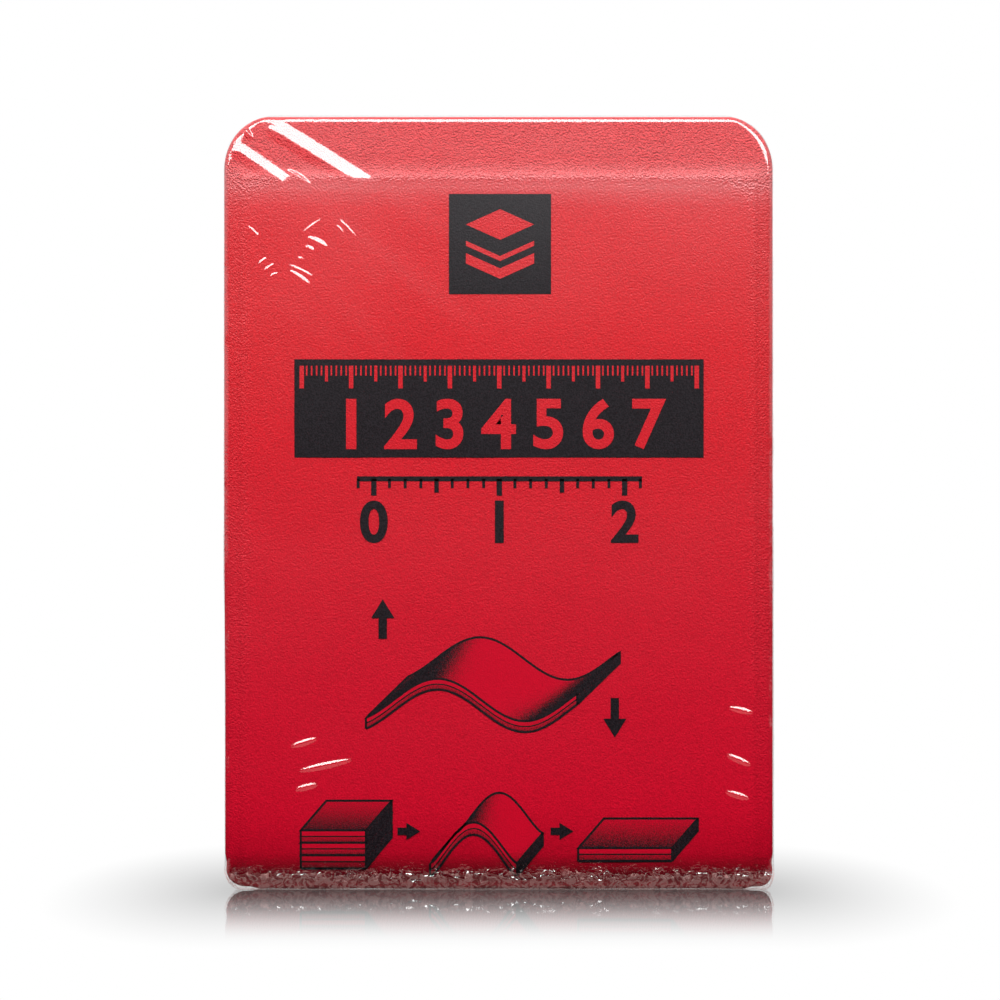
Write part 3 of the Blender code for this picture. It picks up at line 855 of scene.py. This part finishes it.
def shape_film(bm):
    """Adds the folds, creases and gathers to the film."""
    bm.normal_update()
    fine, finest = [], []
    for face in bm.faces:
        middle = face.calc_center_median() / MM
        if face.normal.y > -0.4 or len(face.verts) != 4:
            continue
        if in_creased_corner(middle) or 0.3 < middle.z < GATHERED_TOP:
            fine.append(face)
        elif middle.z < FINE_ROWS_START and is_near_crease(middle.x, middle.z, 1.8):
            finest.append(face)

    def subdivide(faces, cuts):
        edges = list({edge for face in faces for edge in face.edges})
        bmesh.ops.subdivide_edges(bm, edges=edges, cuts=cuts, use_grid_fill=True)

    subdivide(fine, 1)
    subdivide(finest, 4)
    creased = []
    for face in bm.faces:
        middle = face.calc_center_median() / MM
        is_front = len(face.verts) == 4 and face.normal.y < -0.4
        if is_front and in_creased_corner(middle) and is_near_crease(middle.x, middle.z, 1.4):
            creased.append(face)
    subdivide(creased, 1)
    bm.normal_update()
    moves = []
    for vert in bm.verts:
        x, y, z = vert.co / MM
        normal = vert.normal.copy()
        front = smooth(-normal.y * 2 - 0.4)
        lift = front * front_folds(x, z) if front else 0.0
        lift += base_crinkle(x + 40 * (y > 0), z)
        slack = noise.noise(Vector((x * 0.06, y * 0.2, z * 0.09)))
        lift += 0.08 * slack * smooth((z - 2) / 8) * smooth((154 - z) / 6)
        if abs(normal.x) > 0.5:
            lift += 0.06 + 0.06 * noise.noise(Vector((x * 0.1, y * 0.25, z * 0.35 + 0.6 * y)))
        if normal.y > 0.5:
            lift += 0.10 * (0.5 - abs(noise.noise(Vector((x * 0.05 + 5, 2, z * 0.16 + x * 0.03)))))
        moves.append((vert, normal, lift * MM))
    for vert, normal, lift in moves:
        vert.co += normal * lift
        vert.co.z = max(vert.co.z, 0.0)


def film():
    """The film as a thin closed skin round the pack."""
    bm = tube(film_section(), film_rows(), film_point)
    shape_film(bm)
    piece = made_piece("crinkled_film", bm, CLEAR_FILM,
                       replaced=("shrink_film",))

    def crinkle_at(point):
        x, z = point.x / MM, point.z / MM
        corner = 0.14 * smooth((-28 - x) / 14) * smooth((z - 116) / 12)
        return max(smooth((7.5 - z) / 5.0), corner, 0.05)

    set_attribute(piece, "crinkle", crinkle_at)
    return piece


film()


# The print: flat shapes of ink a hair's breadth in front of the foam, drawn in millimetres. What
# is left bare in the ink lies a little in front of it

INK_LIFT = 0.03
BARE_LIFT = 0.015
BEND_START = BOTTOM_FOLD_CENTRE_Z / MM
BEND_RADIUS = (BOTTOM_FOLD_RADIUS + HALF_STRIP) / MM


def on_front(x, z, lift):
    """The place on the foam's front of a point drawn on it, followed round into the fold."""
    if z >= BEND_START:
        return pressed_down(Vector((x, FRONT_Y / MM - lift, z)) * MM)
    angle = (BEND_START - z) / BEND_RADIUS
    radius = BEND_RADIUS + lift
    y = FRONT_Y / MM + BEND_RADIUS - radius * math.cos(angle)
    return pressed_down(Vector((x, y, BEND_START - radius * math.sin(angle))) * MM)


def start_print():
    """An empty bmesh with the layer that says how far the ink is thinned."""
    bm = bmesh.new()
    bm.loops.layers.uv.new("shade")
    return bm


def ribbon(bm, first, second, lift=0.0, shades=None, cuts=1):
    """Ink between two lines of points. shades gives the thinning at each point of both lines."""
    count = len(first) - 1
    made = bmesh.ops.create_grid(bm, x_segments=count, y_segments=cuts, size=0.5)
    layer = bm.loops.layers.uv["shade"]
    value = {}
    for vert in made["verts"]:
        column = round((vert.co.x + 0.5) * count)
        across = vert.co.y + 0.5
        point = Vector(first[column]).lerp(Vector(second[column]), across)
        if shades:
            low, high = shades[column]
            value[vert] = low + (high - low) * across
        else:
            value[vert] = 0.0
        vert.co = on_front(point.x, point.y, INK_LIFT + lift)
    for face in {face for vert in made["verts"] for face in vert.link_faces}:
        for loop in face.loops:
            loop[layer].uv = (value[loop.vert], 0.0)
        if face.calc_area() > 1e-12:
            face.normal_update()
            if face.normal.y > 0:
                face.normal_flip()


def box_of(x0, z0, x1, z1, columns=1):
    """The lower and upper edge of an upright rectangle."""
    xs = steps(x0, x1, (x1 - x0) / columns)
    return [(x, z0) for x in xs], [(x, z1) for x in xs]


def finer(points, gap=0.8):
    """The line of points with more points between them, so that it can follow the fold."""
    line = [Vector(points[0])]
    for point in points[1:]:
        start, end = line[-1], Vector(point)
        pieces = max(math.ceil((end - start).length / gap), 1)
        line += [start.lerp(end, (i + 1) / pieces) for i in range(pieces)]
    return line


def stroke(bm, points, width, lift=0.0, shade=None):
    """A line of ink of an even width along the points."""
    points = finer(points)
    count = len(points)
    sides = ([], [])
    is_closed = (Vector(points[0]) - Vector(points[-1])).length < 1e-6
    for i, point in enumerate(points):
        before = points[max(i - 1, 0)] if not is_closed or i else points[-2]
        after = points[min(i + 1, count - 1)] if not is_closed or i < count - 1 else points[1]
        here = Vector(point)
        run_in, run_out = here - Vector(before), Vector(after) - here
        run_in = run_in.normalized() if run_in.length > 1e-9 else run_out.normalized()
        run_out = run_out.normalized() if run_out.length > 1e-9 else run_in
        along = (run_in + run_out).normalized()
        across = Vector((-along.y, along.x))
        reach = width / 2 / max(across.dot(Vector((-run_out.y, run_out.x))), 0.5)
        sides[0].append(here - across * reach)
        sides[1].append(here + across * reach)
    ribbon(bm, *sides, lift=lift, shades=[shade] * count if shade else None, cuts=2)


def arrow(bm, tail, tip, width, head):
    """A plain straight arrow."""
    tail, tip = Vector(tail), Vector(tip)
    along = (tip - tail).normalized()
    across = Vector((-along.y, along.x))
    neck = tip - along * head
    ribbon(bm, [tail - across * width / 2, neck - across * width / 2],
           [tail + across * width / 2, neck + across * width / 2])
    ribbon(bm, [neck - across * head * 0.62, tip], [neck + across * head * 0.62, tip])


def numeral(bm, text, x, z, height, weight, lift=0.0):
    """A plain numeral, centred on x, with its foot at z."""
    curve = bpy.data.curves.new("numeral", "FONT")
    curve.body = text
    curve.align_x = "CENTER"
    curve.offset = weight
    holder = placed("numeral", curve)
    depsgraph = bpy.context.evaluated_depsgraph_get()
    flat = bpy.data.meshes.new_from_object(holder.evaluated_get(depsgraph), depsgraph=depsgraph)
    bpy.data.objects.remove(holder)
    top = max(vert.co.y for vert in flat.vertices)
    bottom = min(vert.co.y for vert in flat.vertices)
    scale = height / (top - bottom)
    before = set(bm.verts)
    bm.from_mesh(flat)
    bpy.data.meshes.remove(flat)
    added = [vert for vert in bm.verts if vert not in before]
    bmesh.ops.remove_doubles(bm, verts=added, dist=1e-5)
    for vert in [vert for vert in bm.verts if vert not in before]:
        across, up = vert.co.x * scale, (vert.co.y - bottom) * scale
        vert.co = on_front(x + across, z + up, INK_LIFT + lift)
    for face in bm.faces:
        face.normal_update()
        if face.normal.y > 0.5:
            face.normal_flip()


def print_piece(name, bm, material=None):
    """The bmesh as a piece of print, in ink unless a material is given."""
    bmesh.ops.remove_doubles(bm, verts=bm.verts, dist=1e-7)
    bmesh.ops.dissolve_degenerate(bm, edges=bm.edges, dist=1e-7)
    piece = made_piece(name, bm, material or PRINT_INK)
    set_looks(piece)
    return piece


def emblem():
    """A dark square with a plain sign of stacked layers."""
    ink = start_print()
    ribbon(ink, *box_of(-10.2, 120.8, 10.5, 141.1))
    print_piece("emblem_square", ink)
    sign = start_print()
    middle, half, drop, centre = 0.15, 6.9, 3.1, 134.9
    left, right = (middle - half, centre), (middle + half, centre)
    ribbon(sign, [left, (middle, centre - drop), right], [left, (middle, centre + drop), right],
           lift=BARE_LIFT)
    for top, thick in ((131.6, 1.0), (129.1, 2.1)):
        upper = [(middle - half, top), (middle, top - drop), (middle + half, top)]
        ribbon(sign, [(x, z - thick) for x, z in upper], upper, lift=BARE_LIFT)
    print_piece("emblem_layers", sign, RED_FOAM)


def centimetre_scale():
    """A dark band with a centimetre scale left bare in it."""
    ink = start_print()
    ribbon(ink, *box_of(-41.5, 87.7, 41.4, 107.6))
    print_piece("scale_band", ink)
    marks = start_print()
    for i in range(-40, 41):
        if i % 10 == 0:
            drop, width = 4.6, 0.9
        elif i % 5 == 0:
            drop, width = 3.2, 0.6
        else:
            drop, width = 2.0, 0.32
        left = max(i - width / 2, -41.0)
        ribbon(marks, *box_of(left, 106.3 - drop, min(i + width / 2, 41.0), 106.3), lift=BARE_LIFT)
    for i in range(-3, 4):
        numeral(marks, str(i + 4), i * 10.0, 89.4, 10.2, 0.026, lift=BARE_LIFT)
    print_piece("scale_marks", marks, RED_FOAM)


def inch_scale():
    """An inch scale in black below the band."""
    ink = start_print()
    ribbon(ink, *box_of(-28.8, 82.9, 28.9, 83.9))
    inch = 25.4
    for i in range(-9, 10):
        x = i * inch / 8
        if i % 8 == 0:
            drop, width = 3.4, 1.1
        elif i % 4 == 0:
            drop, width = 2.8, 0.9
        else:
            drop, width = 1.9, 0.6
        ribbon(ink, *box_of(x - width / 2, 83.4 - drop, x + width / 2, 83.4))
    for i in (-1, 0, 1):
        numeral(ink, str(i + 1), i * inch, 70.4, 8.6, 0.028)
    print_piece("inch_scale", ink)


def bent_strip(ink, near, depth, thick, contrast, lift=0.0):
    """A strip drawn in space: near is its near edge, and depth leads to its far edge."""
    near = [Vector(point) for point in near]
    depth = Vector(depth)
    far = [point + depth for point in near]
    low = [point - Vector((0.0, thick)) for point in near]
    core = [point - Vector((0.0, thick / 2)) for point in near]
    slopes = np.gradient([point.y for point in near], [point.x for point in near])
    shades = []
    for slope in slopes:
        tone = 0.46 - contrast * float(slope)
        shades.append((min(max(tone - 0.22, 0.0), 1.0), min(max(tone + 0.28, 0.0), 1.0)))
    ribbon(ink, near, far, lift=lift, shades=shades, cuts=10)
    ribbon(ink, low, near, lift=lift, shades=[(0.35, 1.0)] * len(near), cuts=3)
    end = finer([near[-1], far[-1]])
    end_low = [point - Vector((0.0, thick)) for point in end]
    ribbon(ink, end_low, end, lift=lift, shades=[(0.0, 0.12)] * len(end), cuts=4)
    for line in (near + far[::-1] + near[:1], low, [near[0], low[0]], [near[-1], low[-1]],
                 end_low + [far[-1]]):
        stroke(ink, line, 0.46, lift=lift + 0.006)
    stroke(ink, core, 0.26, lift=lift + 0.006)


def wave_drawing():
    """A strip bent into a wave, with an arrow for each way it bends."""
    ink = start_print()
    near = [(x, 38.6 + 4.3 * math.sin((x + 27) / 42.5 * 2.4 * math.pi - 1.0))
            for x in steps(-27.0, 15.8, 0.8)]
    bent_strip(ink, near, (8.6, 8.4), 2.2, 0.95)
    arrow(ink, (-23.6, 51.0), (-23.6, 59.0), 1.7, 3.8)
    arrow(ink, (23.4, 39.0), (23.4, 31.0), 1.7, 3.8)
    print_piece("wave_drawing", ink)


def unfolding_drawing():
    """The strip folded, half open and flat, from left to right."""
    ink = start_print()
    depth, thick = (5.2, 6.0), 2.5
    for level in range(3):
        near = [(x, 7.2 + level * thick) for x in steps(-40.2, -27.0, 2.0)]
        bent_strip(ink, near, depth, thick, 0.0, lift=0.014 * level)
    arrow(ink, (-20.6, 12.0), (-16.0, 12.0), 1.5, 2.8)
    near = [(x, 5.6 + 8.2 * math.cos((x + 5.2) / 8.9 * math.pi / 2) ** 1.4)
            for x in steps(-14.0, 3.6, 0.55)]
    bent_strip(ink, near, depth, thick, 0.45)
    arrow(ink, (10.4, 12.0), (15.0, 12.0), 1.5, 2.8)
    bent_strip(ink, [(x, 8.6) for x in steps(16.0, 35.0, 2.0)], depth, thick, 0.0)
    print_piece("unfolding_drawing", ink)


emblem()
centimetre_scale()
inch_scale()
wave_drawing()
unfolding_drawing()


# Camera, floor and light


def camera():
    """A long lens straight in front of the pack, at the middle of the picture's height."""
    lens_distance = 1.5
    # How much of the plane at that distance the picture takes in from side to side
    picture_width = 0.2031
    data = bpy.data.cameras.new("camera")
    data.sensor_width = 36.0
    data.lens = data.sensor_width * lens_distance / picture_width
    data.clip_start, data.clip_end = 0.05, 60.0
    holder = placed("camera", data)
    holder.location = (0.00015, -lens_distance - 0.004, 0.0791)
    holder.rotation_euler = (math.pi / 2, 0.0, 0.0)
    bpy.context.scene.camera = holder


# The soft shadow beside the pack: how far it reaches, what share of a distance to the front or
# back counts, and how dark it gets
SHADOW_REACH = 0.042
SHADOW_STRETCH = 0.21
SHADOW_DEPTH = 0.46
# Half the size of the base that the floor's shadow and mirror spread from
CORE_X, CORE_Y = 0.050, 0.006


def floor_material():
    """A white floor with a soft shadow and a mirror share, which both fade away from the pack.

    Only the camera sees these. Other rays see a dull floor, and in the film's gloss a lighter
    stripe beside the pack.
    """
    made = bpy.data.materials.new("white_floor")
    made.use_nodes = True
    nodes = Nodes(made.node_tree)
    apart = nodes.filled("SeparateXYZ", {0: nodes.place()})

    def beyond(value, half):
        past = nodes.maths("SUBTRACT", nodes.maths("ABSOLUTE", value), half)
        return nodes.maths("MAXIMUM", past, 0.0)

    def distance(x, y):
        together = nodes.filled("CombineXYZ", {0: x, 1: y}).outputs[0]
        return nodes.filled("VectorMath", {0: together}, operation="LENGTH").outputs["Value"]

    x_past, y_past = beyond(apart.outputs["X"], CORE_X), beyond(apart.outputs["Y"], CORE_Y)
    away = distance(x_past, y_past)
    shadow_away = distance(x_past, nodes.maths("MULTIPLY", y_past, SHADOW_STRETCH))
    reach = nodes.mapped(shadow_away, 0.0, SHADOW_REACH, 1.0, 0.0, kind="LINEAR")
    shade = nodes.maths("MULTIPLY_ADD", nodes.maths("POWER", reach, 1.25), -SHADOW_DEPTH, 1.0)
    lit = nodes.filled("Emission", {"Color": shade, "Strength": 1.0}).outputs[0]
    mirror = nodes.filled("BsdfGlossy", {"Color": shade, "Roughness": 0.03}).outputs[0]
    not_behind = nodes.mapped(apart.outputs["Y"], -0.005, 0.015, 1.0, 0.12)
    not_beside = nodes.mapped(x_past, 0.007, 0.024, 1.0, 0.0)
    near = nodes.mapped(away, 0.0, 0.175, 0.93, 0.0)
    share = nodes.maths("MULTIPLY", near, nodes.maths("MULTIPLY", not_behind, not_beside))
    seen = nodes.mixed_shaders(share, lit, mirror)

    path = nodes.add("LightPath")
    stripe = nodes.maths("MULTIPLY", nodes.mapped(away, 0.005, 0.020, 0.35, 1.0),
                         nodes.mapped(away, 0.040, 0.080, 0.95, 0.0))
    glow = nodes.maths("MULTIPLY_ADD", stripe, path.outputs["Is Glossy Ray"], 0.012)
    dull = nodes.filled("Emission", {"Color": (1.0, 0.55, 0.52, 1.0), "Strength": glow})
    surface = made.node_tree.nodes["Material Output"].inputs["Surface"]
    both = nodes.mixed_shaders(path.outputs["Is Camera Ray"], dull.outputs[0], seen)
    nodes.fill(surface, both)
    return made


def floor():
    """The floor, a hair's breadth below the pack."""
    bm = bmesh.new()
    bmesh.ops.create_grid(bm, x_segments=1, y_segments=1, size=20.0)
    bmesh.ops.translate(bm, verts=bm.verts, vec=(0.0, 0.0, -0.00003))
    mesh = bpy.data.meshes.new("floor")
    bm.to_mesh(mesh)
    bm.free()
    mesh.materials.append(floor_material())
    placed("floor", mesh)


def soft_box(name, place, target, width, height, brightness):
    """A soft rectangular light, with its brightness as that of its surface."""
    light = bpy.data.lights.new(name, "AREA")
    light.shape = "RECTANGLE"
    light.size, light.size_y = width, height
    light.energy = math.pi * width * height * brightness
    holder = placed(name, light)
    holder.location = place
    aim = Vector(target) - Vector(place)
    holder.rotation_euler = aim.to_track_quat("-Z", "Y").to_euler()


def world():
    """A white surround that is dark behind the camera, so that the film keeps its depth."""
    made = bpy.data.worlds.new("studio")
    bpy.context.scene.world = made
    made.use_nodes = True
    nodes = Nodes(made.node_tree)
    apart = nodes.filled("SeparateXYZ", {0: nodes.add("TexCoord").outputs["Generated"]})
    ahead = nodes.mapped(apart.outputs["Y"], -0.80, -0.15, 1.0, 0.0)
    low = nodes.mapped(apart.outputs["Z"], 0.30, 0.65, 1.0, 0.0)
    bright = nodes.mapped(apart.outputs["Y"], 0.0, 0.5, 0.75, 1.0)
    level = nodes.mixed_numbers(nodes.maths("MULTIPLY", ahead, low), bright, 0.02)
    is_camera = nodes.add("LightPath").outputs["Is Camera Ray"]
    background = made.node_tree.nodes["Background"]
    background.inputs["Color"].default_value = WHITE
    nodes.fill(background.inputs["Strength"], nodes.mixed_numbers(is_camera, level, 1.0))


camera()
floor()
world()
soft_box("key_light", (-0.03, -0.39, 0.62), (0.0, 0.0, 0.10), 1.4, 0.30, 9.2)
bpy.context.scene.view_settings.view_transform = "Standard"
